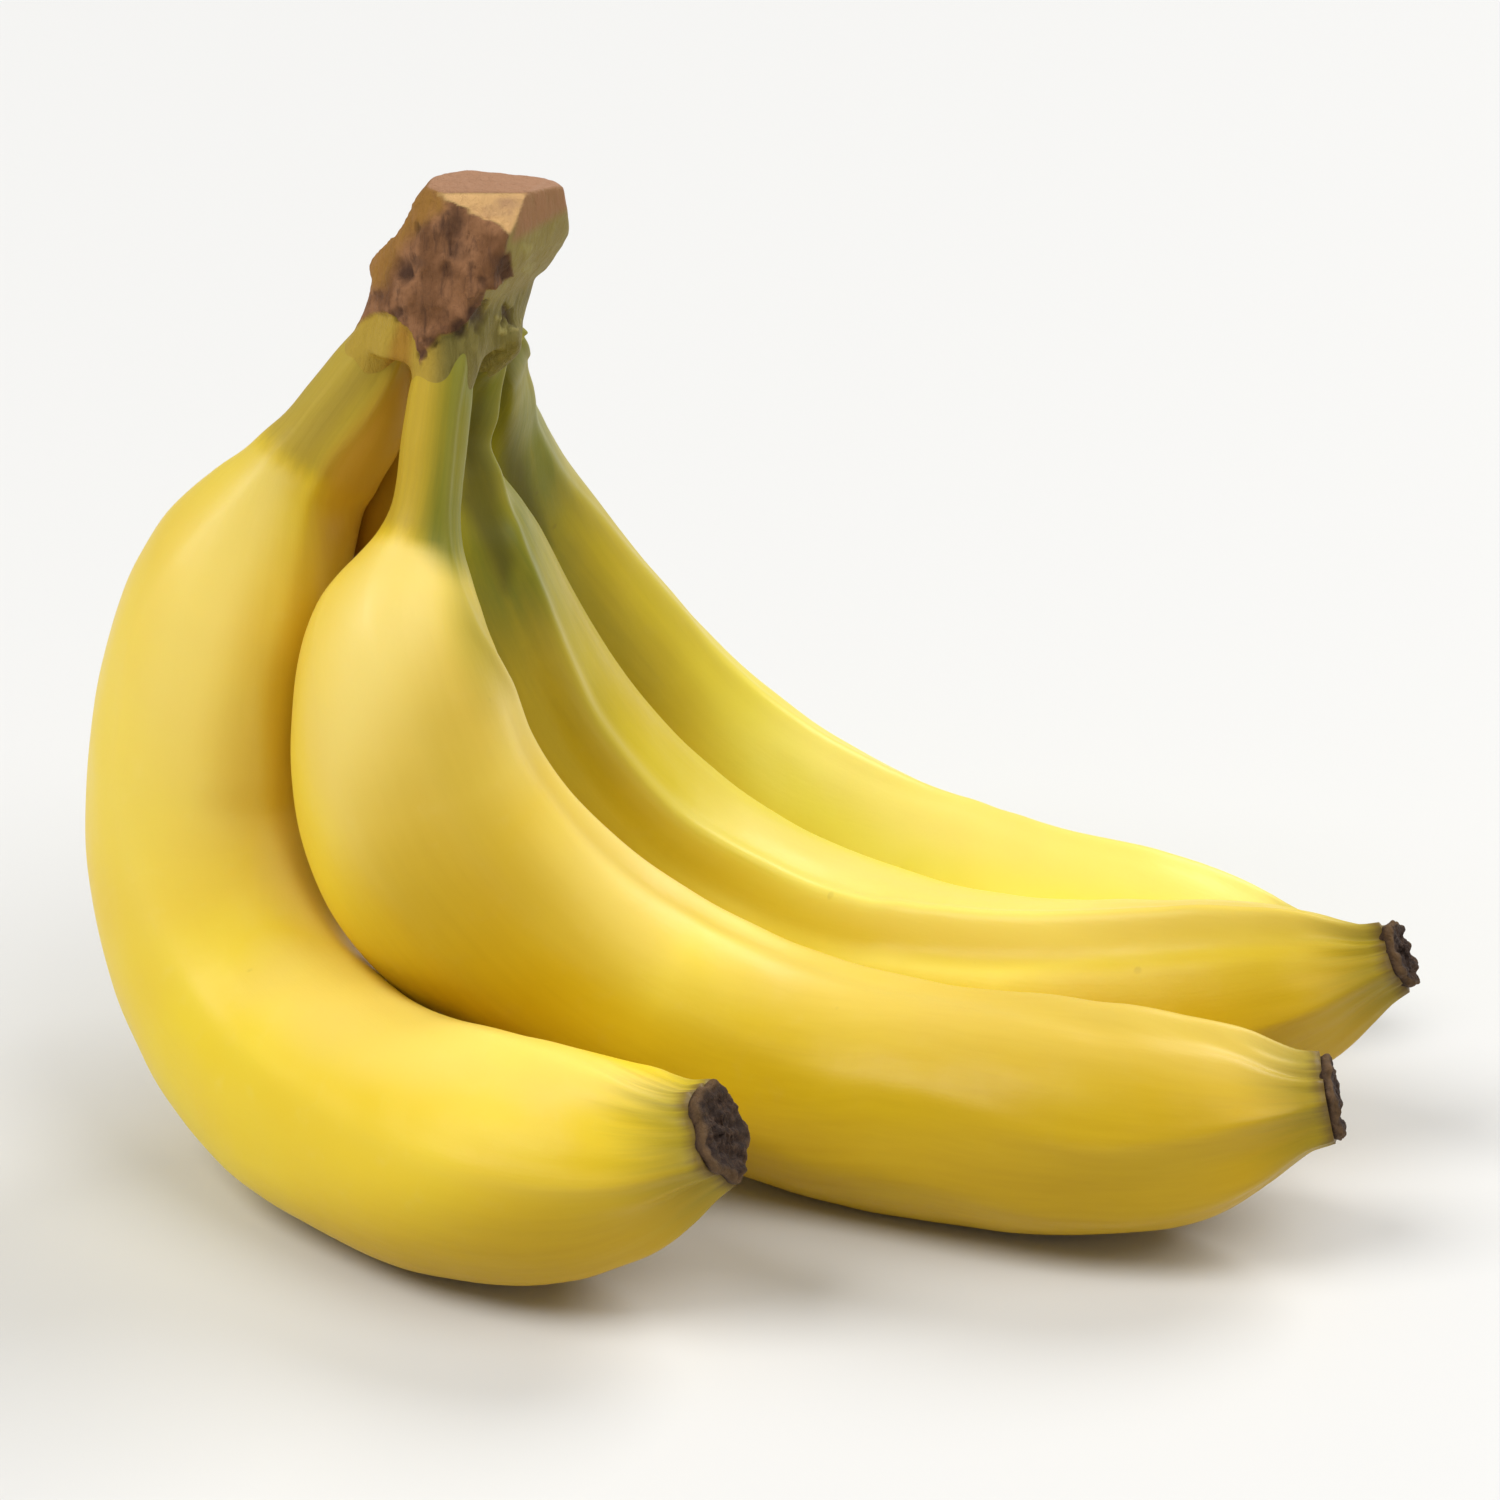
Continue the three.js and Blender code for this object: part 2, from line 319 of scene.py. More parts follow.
# The fruits' centre-lines, read from their solids
class CentreLine:
    """The middle, the thickness and the directions along one fruit, from the rings of its solid."""

    def __init__(self, node, heading, sways):
        work = bmesh.new()
        work.from_mesh(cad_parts[node].data)
        bmesh.ops.remove_doubles(work, verts=work.verts, dist=MERGE)
        caps = [v for v in work.verts if len(v.link_edges) >= CAD_SIDES]
        start = max(caps, key=lambda v: v.co.z)
        rings, seen, level = [], {start}, [start]
        while level:
            following = []
            for vertex in level:
                for edge in vertex.link_edges:
                    other = edge.other_vert(vertex)
                    if other not in seen:
                        seen.add(other)
                        following.append(other)
            if len(following) == CAD_SIDES:
                rings.append(np.array([v.co[:] for v in following]))
            level = following
        work.free()
        apart = [rings[0]]
        for ring in rings[1:]:
            if np.linalg.norm(ring.mean(axis=0) - apart[-1].mean(axis=0)) > CAD_RINGS_APART:
                apart.append(ring)
        self.middles = np.array([ring.mean(axis=0) for ring in apart])
        self.radii = np.array([np.linalg.norm(ring - ring.mean(axis=0), axis=1).mean() for ring in apart])
        steps = np.linalg.norm(np.diff(self.middles, axis=0), axis=1)
        self.distances = np.concatenate(([0], np.cumsum(steps)))
        self.length = self.distances[-1]
        self.sways = sways
        heading = math.radians(heading)
        self.hollow = np.array((math.cos(heading), math.sin(heading), 1.0))

    def smooth(self, knots, at):
        """Values along the line through the rings' values, with even slopes."""
        x = self.distances
        slopes = np.gradient(knots, x, axis=0)
        index = np.clip(np.searchsorted(x, at) - 1, 0, len(x) - 2)
        width = x[index + 1] - x[index]
        t = (at - x[index]) / width
        shape = (-1,) + (1,) * (knots.ndim - 1)
        t, width = t.reshape(shape), width.reshape(shape)
        return ((2 * t**3 - 3 * t**2 + 1) * knots[index] + (t**3 - 2 * t**2 + t) * width * slopes[index]
                + (3 * t**2 - 2 * t**3) * knots[index + 1] + (t**3 - t**2) * width * slopes[index + 1])

    def at(self, distances):
        """Middles, radii, and the forward, inner and side directions at distances along the fruit."""
        inner_part = np.clip(distances, 0, self.length)
        middles = self.smooth(self.middles, inner_part)
        radii = self.smooth(self.radii, inner_part)
        nudge = 1.5 * MM
        ahead = self.smooth(self.middles, np.clip(inner_part + nudge, 0, self.length))
        behind = self.smooth(self.middles, np.clip(inner_part - nudge, 0, self.length))
        forward = unit(ahead - behind)
        middles = middles + forward * (distances - inner_part)[:, None]
        for middle, reach, right, up in self.sways:
            middles += np.array((right, 0, up)) * MM * bulge(distances / MM, middle, reach)[:, None]
        inner = unit(self.hollow - (forward @ self.hollow)[:, None] * forward)
        return middles, radii, forward, inner, np.cross(inner, forward)


LINES = {name: CentreLine(f"banana_{name}", form["heading"], form.get("sways", [])) for name, form in RIDGES.items()}


def ridge_angles(name, distances):
    """The angle of each of a fruit's five ridges at each distance, in radians."""
    knots = np.array(RIDGES[name]["path"], dtype=float)
    main = np.interp(distances / MM, knots[:, 0], knots[:, 1])
    reach = 6
    kernel = np.hanning(2 * reach + 1)
    main = np.convolve(np.pad(main, reach, mode="edge"), kernel / kernel.sum(), mode="valid")
    return np.radians(main[:, None] + np.array(RIDGES[name]["offsets"])[None, :])


def ridge_field(angles, ridges):
    """How far each angle of each ring is from its nearest ridge, its share of the way between ridges, and which."""
    gap = np.abs(turned(angles[None, :, None] - ridges[:, None, :]))
    ordered = np.sort((ridges % (2 * math.pi)), axis=1)
    spans = np.diff(np.concatenate((ordered, ordered[:, :1] + 2 * math.pi), axis=1), axis=1)
    place = (angles[None, :] - ordered[:, :1]) % (2 * math.pi)
    starts = ordered - ordered[:, :1]
    slot = (place[:, :, None] >= starts[:, None, :]).sum(axis=2) - 1
    width = np.take_along_axis(spans, slot, axis=1)
    share = (place - np.take_along_axis(starts, slot, axis=1)) / width
    return gap.min(axis=2), share, gap.argmin(axis=2)


# Materials
class Flow:
    """A number or colour that flows through a material: sums and products of it add the nodes."""

    def __init__(self, recipe, socket):
        self.recipe, self.socket = recipe, socket

    def _math(self, operation, first, second):
        return self.recipe.add("ShaderNodeMath", 0, {"operation": operation}, {0: first, 1: second})

    def __add__(self, other):
        return self._math("ADD", self, other)

    __radd__ = __add__

    def __mul__(self, other):
        return self._math("MULTIPLY", self, other)

    def __sub__(self, other):
        return self._math("SUBTRACT", self, other)

    def __rsub__(self, other):
        return self._math("SUBTRACT", other, self)

    def between(self, low, high):
        """0 below low, 1 above high and a soft rise from one to the other."""
        settings = {"interpolation_type": "SMOOTHSTEP", "clamp": True}
        inputs = {"Value": self, "From Min": low, "From Max": high}
        return self.recipe.add("ShaderNodeMapRange", 0, settings, inputs)


class Recipe:
    """A material that is put together from nodes."""

    def __init__(self, name):
        self.material = bpy.data.materials.new(name)
        self.material.use_nodes = True
        self.tree = self.material.node_tree
        self.shader = self.tree.nodes["Principled BSDF"]

    def add(self, kind, output, settings=None, inputs=None):
        """Adds a node and returns what flows out of one of its outputs."""
        node = self.tree.nodes.new(kind)
        for key, value in (settings or {}).items():
            setattr(node, key, value)
        for key, value in (inputs or {}).items():
            if value is not None:
                self.feed(node.inputs[key], value)
        return Flow(self, node.outputs[output])

    def feed(self, socket, value):
        if isinstance(value, Flow):
            self.tree.links.new(value.socket, socket)
        elif hasattr(socket.default_value, "__len__") and len(socket.default_value) == 4:
            socket.default_value = (*value[:3], 1.0)
        else:
            socket.default_value = value

    def values(self, *names):
        """The mesh's own values of these names."""
        return [self.add("ShaderNodeAttribute", "Fac", {"attribute_name": name}) for name in names]

    def vector(self, name):
        return self.add("ShaderNodeAttribute", "Vector", {"attribute_name": name})

    def object_place(self):
        return self.add("ShaderNodeTexCoord", "Object")

    def stretched(self, vector, scale):
        return self.add("ShaderNodeMapping", 0, {}, {"Vector": vector, "Scale": scale})

    def noise(self, vector, scale, detail=3.0, roughness=0.55, distortion=0.0):
        inputs = {"Vector": vector, "Scale": scale, "Detail": detail, "Roughness": roughness,
                  "Distortion": distortion}
        return self.add("ShaderNodeTexNoise", "Fac", {}, inputs)

    def cells(self, vector, scale):
        return self.add("ShaderNodeTexVoronoi", "Distance", {}, {"Vector": vector, "Scale": scale})

    def mix(self, share, first, second):
        settings = {"data_type": "RGBA", "clamp_factor": True}
        return self.add("ShaderNodeMix", 2, settings, {0: share, 6: first, 7: second})

    def bump(self, height, strength, distance, below=None):
        inputs = {"Height": height, "Strength": strength, "Distance": distance, "Normal": below}
        return self.add("ShaderNodeBump", "Normal", {}, inputs)

    def finish(self, colour, roughness, normal, **constants):
        self.feed(self.shader.inputs["Base Color"], colour)
        self.feed(self.shader.inputs["Roughness"], roughness)
        self.feed(self.shader.inputs["Normal"], normal)
        for name, value in constants.items():
            self.feed(self.shader.inputs[name.replace("_", " ")], value)
        return self.material


def peel_material(settings):
    """Ripe peel: yellow with faint streaks, green towards the neck and the tip, with a soft waxy sheen, painted
    light on its tops and shoulders, and painted shade underneath and between the stalks.
    """
    peel = Recipe("peel")
    skin = peel.vector("skin")
    along, to_tip, green, ridge, neck_line, warm, shade, painted_under_shade, upper, lemon = peel.values(
        "along", "to_tip", "green", "ridge", "neck_line", "warm", "shade", "painted_under_shade", "upper", "lemon")
    patches = peel.noise(skin, 26.0, 2.0)
    streaks = peel.noise(peel.stretched(skin, (1.0, 1.0, 0.1)), 520.0, 4.0, 0.6)
    mottle = peel.noise(skin, 240.0, 4.0, 0.6)
    colour = peel.mix(patches.between(0.35, 0.7), settings.yellow, settings.warm_yellow)
    colour = peel.mix(streaks.between(0.45, 0.75) * 0.16, colour, settings.warm_yellow)
    colour = peel.mix(mottle.between(0.55, 0.8) * 0.12, colour, settings.pale_yellow_and_painted_light)
    # Paler ridges: a painted highlight along them
    colour = peel.mix(ridge * (0.18 + streaks * 0.2), colour, settings.pale_yellow_and_painted_light)
    colour = peel.mix(lemon, colour, settings.lemon)
    # Painted light: a pale yellow on the tops, on the shoulders and right sides of the front fruits and on the first
    # fruit's stalk
    colour = peel.mix(upper * (0.55 + patches * 0.4), colour, settings.pale_yellow_and_painted_light)
    # Painted shade: a deeper yellow on the undersides and in the groove in front of the strongest ridge
    colour = peel.mix(painted_under_shade * (0.75 + streaks * 0.3), colour, settings.painted_shade_yellow)
    stalk = 1.0 - (along + mottle * 3.0).between(25.0, 30.0)
    colour = peel.mix(stalk * (0.6 + streaks * 0.35), colour, settings.stalk)
    wandering = (patches - 0.5) * 0.4 + (streaks - 0.5) * 0.3
    colour = peel.mix(green + green * wandering, colour, settings.green)
    # Painted shade: a dim olive between the right stalks
    colour = peel.mix(shade * 0.75, colour, settings.painted_shade_green)
    # Painted shade: an old gold between the left stalks
    colour = peel.mix(warm * (0.65 + streaks * 0.3), colour, settings.painted_shade_brown)
    colour = peel.mix(neck_line * 0.75, colour, settings.pale_green)
    end = 1.0 - (to_tip + streaks * 9.0).between(2.0, 19.0)
    colour = peel.mix(end * 0.85, colour, settings.tip_green)
    rim = 1.0 - (to_tip + streaks * 3.0).between(1.0, 4.2)
    colour = peel.mix(rim * 0.8, colour, settings.dry)
    specks = (1.0 - peel.cells(skin, 120.0).between(0.05, 0.11)) * peel.noise(skin, 60.0, 2.0).between(0.6, 0.66)
    colour = peel.mix(specks * 0.2, colour, settings.dry)
    rough = 0.4 + (mottle - 0.5) * 0.16 + stalk * 0.12 + end * 0.12
    fine = peel.bump(mottle, 0.12, 0.0006)
    normal = peel.bump(streaks, 0.1, 0.0004, fine)
    return peel.finish(colour, rough, normal, Subsurface_Weight=0.12, Subsurface_Scale=0.004,
                       Subsurface_Radius=(1.0, 0.7, 0.15), Specular_IOR_Level=0.24, Coat_Weight=0.05,
                       Coat_Roughness=0.4)


def crown_material(settings):
    """Woody crown: torn brown fibres, pale cuts, and living skin where it runs into the stalks, with painted shade
    between the left stalks and painted shadow among the dark marks.
    """
    crown = Recipe("crown skin")
    place = crown.object_place()
    torn, cut, top, ochre, dark, blush, green, low, pale, warm = crown.values(
        "torn", "cut", "top", "ochre", "dark", "blush", "green", "low", "pale", "warm")
    fibres = crown.noise(crown.stretched(place, (1.0, 1.0, 0.25)), 700.0, 5.0, 0.62, 0.5)
    patches = crown.noise(place, 170.0, 3.0)
    grain = crown.noise(place, 1500.0, 4.0, 0.7)
    living = crown.mix(low, settings.green, settings.low_green)
    living = crown.mix(fibres.between(0.35, 0.7) * 0.35, living, settings.pale_green)
    colour = crown.mix(green, settings.stalk, living)
    colour = crown.mix(pale, colour, settings.pale_green)
    # Painted shade: an old gold between the left stalks
    colour = crown.mix(warm * 0.85, colour, settings.painted_shade_brown)
    brown = crown.mix(patches.between(0.36, 0.62), settings.brown, settings.light_brown)
    brown = crown.mix(fibres.between(0.46, 0.72) * 0.6, brown, settings.dark_brown)
    brown = crown.mix(ochre * (0.25 + fibres * 0.9), brown, settings.ochre)
    colour = crown.mix(torn, colour, brown)
    colour = crown.mix(blush * (0.6 + fibres * 0.5), colour, settings.blush)
    old = crown.mix(grain.between(0.4, 0.75) * 0.4, settings.top_brown, settings.blush)
    colour = crown.mix(top * (0.85 + grain * 0.2), colour, old)
    fresh = crown.mix(patches.between(0.42, 0.66) * 0.6 + grain * 0.2, settings.cut, settings.top_brown)
    colour = crown.mix(cut, colour, fresh)
    # Dark pits, and painted shadow under the torn flap and in the pocket between the stalks
    colour = crown.mix(dark, colour, settings.dark_brown)
    rough = 0.6 + torn * 0.2 + (grain - 0.5) * 0.2
    coarse = crown.bump(fibres, 0.6, 0.0012)
    normal = crown.bump(grain, 0.3, 0.0005, coarse)
    return crown.finish(colour, rough, normal, Specular_IOR_Level=0.3)


def blossom_material(settings):
    """Dried blossom end: dark, matt and shrivelled, with a paler frayed rim."""
    blossom = Recipe("dried blossom end")
    place = blossom.object_place()
    rim, = blossom.values("rim")
    wrinkles = blossom.noise(place, 700.0, 5.0, 0.7, 0.6)
    grain = blossom.noise(place, 2200.0, 3.0, 0.6)
    colour = blossom.mix(wrinkles.between(0.4, 0.7), settings.dark, settings.middle)
    colour = blossom.mix(rim * (0.35 + grain * 0.6), colour, settings.rim)
    rough = 0.75 + (grain - 0.5) * 0.3
    normal = blossom.bump(grain, 0.4, 0.0004, blossom.bump(wrinkles, 0.7, 0.0012))
    return blossom.finish(colour, rough, normal, Specular_IOR_Level=0.3)


def floor_material(settings):
    """Plain pale table top."""
    table = Recipe("pale table")
    grain = table.noise(table.object_place(), 300.0, 2.0)
    colour = table.mix(grain * 0.04, settings.floor, (0.75, 0.75, 0.74))
    return table.finish(colour, 0.6, table.bump(grain, 0.02, 0.0002))


# Settings
def colour_property(name, description, red, green, blue):
    """A colour setting whose default is given in the everyday 0 to 255 scale."""
    scaled = [channel / 255 for channel in (red, green, blue)]
    linear = [c / 12.92 if c <= 0.04045 else ((c + 0.055) / 1.055) ** 2.4 for c in scaled]
    return FloatVectorProperty(name=name, description=description, subtype="COLOR", size=3, min=0, max=1,
                               default=linear)


def length_property(name, description, millimetres):
    return FloatProperty(name=name, description=description, unit="LENGTH", min=0, default=millimetres * MM)


def brightness_property(name, description, default):
    return FloatProperty(name=name, description=description, default=default, min=0)


class FruitSettings(bpy.types.PropertyGroup):
    yellow: colour_property("Yellow", "Main colour of the peel", 244, 213, 34)
    warm_yellow: colour_property("Warm yellow", "Peel where it is riper", 238, 200, 26)
    # Pale peel in the mottles, and painted light on the ridges, shoulders and tops
    pale_yellow_and_painted_light: colour_property("Pale yellow", "Peel on its ridges, shoulders and top", 251, 226, 132)
    lemon: colour_property("Lemon", "Greenish yellow of the back fruits", 250, 234, 86)
    # Painted shade on the undersides and in the groove
    painted_shade_yellow: colour_property("Deep yellow", "Peel on the underside", 188, 150, 7)
    green: colour_property("Green", "Unripe peel near the neck", 121, 121, 26)
    # Painted shade between the right stalks
    painted_shade_green: colour_property("Deep green", "Dim olive skin between the stalks", 84, 78, 16)
    pale_green: colour_property("Pale green", "Thin ridges of the necks", 138, 134, 52)
    # Painted shade between the left stalks
    painted_shade_brown: colour_property("Warm brown", "Old gold skin between the stalks", 200, 148, 34)
    stalk: colour_property("Stalk", "Stalk between crown and shoulder", 181, 152, 50)
    tip_green: colour_property("Tip green", "Peel at the blossom end", 134, 120, 30)
    dry: colour_property("Dry brown", "Specks and the edge of the blossom end", 96, 70, 38)
    ridge_height: length_property("Ridge height", "How far a fruit's corner stands out of its round", 0.75)
    unevenness: length_property("Unevenness", "How far the surface swells and dips", 0.3)


class BlossomSettings(bpy.types.PropertyGroup):
    dark: colour_property("Dark", "Deepest colour of the dried end", 46, 30, 22)
    middle: colour_property("Middle", "Usual colour of the dried end", 80, 58, 42)
    rim: colour_property("Rim", "Frayed edge of the dried end", 128, 98, 62)
    wrinkle: length_property("Wrinkle", "Depth of the wrinkles", 0.5)


class CrownSettings(bpy.types.PropertyGroup):
    brown: colour_property("Brown", "Torn dry skin", 122, 82, 50)
    light_brown: colour_property("Light brown", "Torn skin where it is thin", 156, 110, 74)
    dark_brown: colour_property("Dark brown", "Pits and shaded edges of the torn skin", 66, 42, 30)
    ochre: colour_property("Ochre", "Yellowed edge of the torn skin", 166, 120, 48)
    top_brown: colour_property("Top brown", "Old cut on the top", 170, 128, 98)
    cut: colour_property("Fresh cut", "Pale knife cut", 228, 182, 120)
    stalk: colour_property("Stalk", "Skin that runs into the left stalks", 184, 153, 52)
    # Painted shade on the crown between the left stalks
    painted_shade_brown: colour_property("Warm brown", "Old gold skin between the left stalks", 168, 120, 30)
    green: colour_property("Green", "Living skin on the right", 138, 122, 64)
    low_green: colour_property("Low green", "Skin where the right stalks meet", 112, 100, 38)
    pale_green: colour_property("Pale green", "Thin ridges of the living skin", 160, 148, 82)
    blush: colour_property("Blush", "Pinkish veil beside the cuts", 156, 110, 76)
    flap: length_property("Flap", "How far the torn skin stands proud", 0.8)
    voxel: length_property("Grain", "Size of the finest facet", 0.4)


class StageSettings(bpy.types.PropertyGroup):
    floor: colour_property("Floor", "Colour of the table", 222, 222, 221)
    floor_radius: FloatProperty(name="Floor radius", description="Reach of the table", unit="LENGTH", default=6.0)
    left_light: brightness_property("Left light", "Soft light from the upper left", 1.7)
    back_light: brightness_property("Back light", "Soft light from behind on the right", 1.65)
    front_light: brightness_property("Front light", "Weak light from the front right", 1.1)
    sky: brightness_property("Sky", "Brightness all around", 0.26)


# Fruits
# The ways that the painted shade on the undersides and the painted light on the tops face
PAINTED_SHADE_WAY = unit(np.array((0.35, -0.5, -0.78)))
PAINTED_LIGHT_WAY = unit(np.array((0.0, -0.1, 1.0)))


def green_share(name, aside, lift, s):
    """How green the skin is: most at the necks and towards the right, and thinner further down."""
    knots = np.array(GREENS[name])
    amount, edge = (np.interp(s, knots[:, 0], knots[:, k]) for k in (1, 2))
    reach = 1.1 - 0.6 * smoothstep(33, 45, s)
    green = amount * smoothstep(0, 1, (aside - edge) / reach)
    if name == "4":
        green = green * (1 - 0.4 * smoothstep(0.3, 1.3, aside + lift) * smoothstep(40, 90, s))
    return green


def shaded_shares(name, points, around, aside, s):
    """How much painted shade the skin gets: an old gold between the left stalks, and a dim olive between the others.
    """
    if name in PAINTED_SHADE_NECKS:
        facing = smoothstep(-0.1, 0.3, around @ TO_CAMERA)
        places = photo_places(points.reshape(-1, 3))
        gap, dim = (inside_distance(places, outline).reshape(aside.shape)
                    for outline in (BETWEEN_STALKS, PAINTED_SHADE_NECKS[name]))
        return smoothstep(-6, 6, gap) * facing, smoothstep(-12, 8, dim) * facing
    gold = smoothstep(0.35, 1.1, aside) * (1 - smoothstep(30, 62, s)) * (name == "1")
    return gold, 0 * aside


def painted_light_share(name, around, aside, s, warm, painted_under_shade):
    """How much painted light, a pale yellow, the skin gets: on top, on the shoulders and right sides of the front
    fruits, and on the first fruit's stalk.
    """
    begin, end, strength = PAINTED_LIGHT_SHOULDERS.get(name, NO_PAINTED_LIGHT_SHOULDER)
    pale = smoothstep(begin, begin + 4, s) * (1 - smoothstep(40, end, s))
    pale = pale * strength * (1 - 0.6 * smoothstep(0.4, 1.0, -aside))
    if name == "1":
        pale = np.maximum(pale, 0.6 * (1 - smoothstep(22, 28, s)) * (1 - warm))
    if name in PAINTED_LIGHT_SIDES:
        strength, full, middle, reach = PAINTED_LIGHT_SIDES[name]
        pale = np.maximum(pale, strength * smoothstep(0.1, full, aside) * bulge(s, middle, reach))
    return np.maximum(0.7 * smoothstep(0.7, 1.0, around @ PAINTED_LIGHT_WAY), pale * (1 - painted_under_shade))


def fruit_rings(name, distances, settings):
    """Points, skin places and masks of a fruit's rings at distances from the crown."""
    line, form = LINES[name], RIDGES[name]
    middles, radii, _, inner, side = line.at(distances)
    angles = full_turn(AROUND)
    around = outward(angles, inner, side)
    ridges = ridge_angles(name, distances)
    nearest, share, which = ridge_field(angles, ridges)
    from_strongest = turned(angles[None] - ridges[:, :1])
    s = distances[:, None] / MM
    left = (line.length - distances)[:, None] / MM
    radii = radii[:, None]

    # The ridges, lower on the neck and at the end, and the groove in front of the strongest
    faceted = form["faceted"] + (1 - form["faceted"]) * (1 - smoothstep(*TIP_FACETS_BEGIN, left))
    corner = hump(nearest, RIDGE_WIDTH) * np.where(which == 0, form["strong"], 0.75 * faceted)
    faces = np.cos(share * 2 * math.pi) * faceted
    fade = 0.45 + 0.55 * smoothstep(*BODY_BEGINS, s) * smoothstep(*BODY_ENDS, left)
    relief = settings.ridge_height * (0.75 * faces + corner - 0.25) * fade * np.clip(radii / FULL_RADIUS, 0.3, 1)
    groove = (hump(from_strongest + GROOVE_AHEAD, GROOVE_WIDTH) * smoothstep(*GROOVE_BEGINS, s)
              * smoothstep(*GROOVE_ENDS, left))
    relief -= form["groove"] * MM * groove
    relief -= 0.5 * MM * (1 - smoothstep(*GRIP_ENDS, s))

    # The pinched tip, the lined neck and the swells
    tip = 1 - smoothstep(*TIP_BEGINS, left)
    relief += tip * radii * (0.05 * faces + 0.09 * corner)
    neck = 1 - smoothstep(*NECK_ENDS, s)
    neck_line = neck * hump(from_strongest, NECK_LINE_WIDTH)
    relief += neck * radii * (0.1 * neck_line + 0.03 * faces)
    for middle, reach, angle, height, half_width in form["swells"]:
        height *= MM * smoothstep(*SWELLS_BEGIN, s) * bulge(s, middle, reach)
        relief += height * hump(turned(angles[None] - math.radians(angle)), half_width)

    # Unevenness, of another pattern on each fruit
    shifted = middles[:, None] + around * radii[..., None] + float(name) * 0.37
    broad, fine = waves(shifted, 38 * MM, seed=11), waves(shifted, 13 * MM, seed=12)
    relief += settings.unevenness * (0.7 * broad + 0.25 * fine)
    on_tip = np.stack((np.cos(angles) * 8, np.sin(angles) * 8, angles * 0), -1)[None] * MM
    relief += tip * 0.35 * MM * waves(on_tip + s[..., None] * 0.1 * MM, 3.4 * MM, seed=13)
    points = middles[:, None] + around * (radii + relief)[..., None]
    points[..., 2] = np.maximum(points[..., 2], ABOVE_TABLE)

    # Colours, with painted light on the tops and shoulders and painted shade underneath and between the stalks
    aside = (points[..., 0] - middles[:, None, 0]) / radii
    lift = (points[..., 2] - middles[:, None, 2]) / radii
    green = green_share(name, aside, lift, s) * (0.92 + 0.12 * waves(shifted, 30 * MM, seed=14))
    warm, shade = shaded_shares(name, points, around, aside, s)
    begins = np.interp(s, *np.array(PAINTED_SHADE_UNDERSIDE[name]).T)
    # Painted shade on the underside, and in the groove in front of the strongest ridge
    painted_under_shade = np.maximum(smoothstep(begins, 0.95, around @ PAINTED_SHADE_WAY), form["groove"] * 0.4 * groove)
    stalk_longer = PAINTED_LIGHT_SHOULDERS.get(name, NO_PAINTED_LIGHT_SHOULDER)[0] - NO_PAINTED_LIGHT_SHOULDER[0]
    masks = {
        "along": s - stalk_longer + 0 * angles, "to_tip": left + 0 * angles, "green": np.clip(green, 0, 1),
        "ridge": np.clip(corner, 0, 1) * smoothstep(30, 50, s), "neck_line": neck_line * (form["groove"] > 0),
        "warm": warm, "shade": shade, "painted_under_shade": painted_under_shade * smoothstep(30, 60, s),
        # upper: painted light, a pale yellow
        "upper": painted_light_share(name, around, aside, s, warm, painted_under_shade),
        "lemon": smoothstep(70, 150, s) * LEMON[name] * (1 - painted_under_shade),
    }
    skin = np.stack((np.cos(angles) * SKIN_RADIUS * MM + 0 * s, np.sin(angles) * SKIN_RADIUS * MM + 0 * s,
                     distances[:, None] + 0 * angles), axis=-1)
    return points, skin + float(name) * 0.31, masks


def make_fruit(name, settings, material):
    line = LINES[name]
    distances = np.linspace(0, line.length, int(line.length / RING_STEP))
    points, skin, masks = fruit_rings(name, distances, settings)
    fruit = tube(f"fruit_{name}", points)

    def with_ends(values):
        """The values of the rings' points, then those of the middles of the two ends."""
        return np.concatenate((values.reshape(len(distances) * AROUND, -1), values[0, :1].reshape(1, -1),
                               values[-1, :1].reshape(1, -1)))

    for mask, values in masks.items():
        put_mask(fruit.data, mask, with_ends(values))
    put_mask(fruit.data, "skin", with_ends(skin), "FLOAT_VECTOR", "vector")
    dress(fruit, material, "peel", f"banana_{name}")


class BANANAS_OT_fruits(bpy.types.Operator):
    """Makes the four fruits with their ridges, necks and pinched tips"""
    bl_idname = "bananas.fruits"
    bl_label = "Fruits"

    def execute(self, context):
        settings = context.scene.bananas_fruit
        material = peel_material(settings)
        for name in RIDGES:
            make_fruit(name, settings, material)
        return {"FINISHED"}


# Blossom ends
BLOSSOM_SIDES = 80
# Outline of a blossom end: distance past the fruit's last ring in mm, and share of that ring's radius
BLOSSOM_PROFILE = [
    (-1.6, 0.6), (-1.2, 0.88), (0.0, 0.97), (0.5, 1.0), (1.0, 1.0), (1.4, 0.97), (1.6, 0.91), (1.6, 0.84),
    (1.6, 0.72), (1.2, 0.58), (1.1, 0.44), (1.4, 0.3), (1.6, 0.18), (1.5, 0.08),
]


